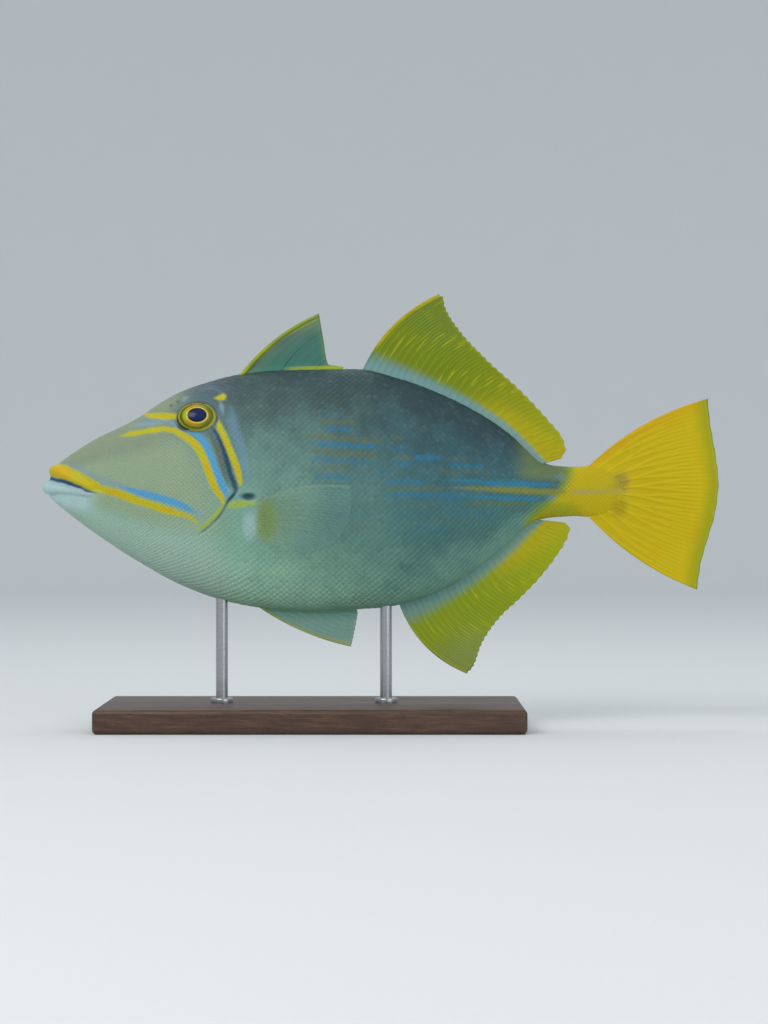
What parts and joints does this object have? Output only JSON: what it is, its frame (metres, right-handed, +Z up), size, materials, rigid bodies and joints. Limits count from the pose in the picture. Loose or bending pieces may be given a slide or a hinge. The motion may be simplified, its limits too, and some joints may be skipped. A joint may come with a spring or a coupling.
{
  "type": "queen triggerfish model on a stand",
  "caption": "Life-size museum model of a queen triggerfish, held level by short rods over a flat wooden base.",
  "frame": {"origin": "on the surface that the base stands on, under the middle of the fish's length", "axes": "+X from the mouth to the tail, +Y to the fish's right side, +Z up through the back"},
  "size_m": [0.3381, 0.112, 0.2165],
  "materials": {
    "skin": "grey green scaled skin, painted and satin varnished",
    "eye": "clear high gloss over a yellow iris and a dark blue pupil",
    "yellow_fin": "thin translucent fin, yellow, satin",
    "pale_fin": "thin translucent fin, grey green, satin",
    "base_wood": "dark walnut, oiled",
    "rod_steel": "brushed"
  },
  "bodies": {
    "root": {"head": "skin", "torso": "skin", "tail_stalk": "skin", "eye_left": "eye", "eye_right": "eye", "first_dorsal_fin": "pale_fin", "second_dorsal_fin": "yellow_fin", "anal_fin": "yellow_fin", "pelvic_flap": "pale_fin", "tail_fin": "yellow_fin", "pectoral_fin_left": "pale_fin", "pectoral_fin_right": "pale_fin", "stand_base": "base_wood", "stand_rod_front": "rod_steel", "stand_rod_rear": "rod_steel"}
  },
  "joints": []
}
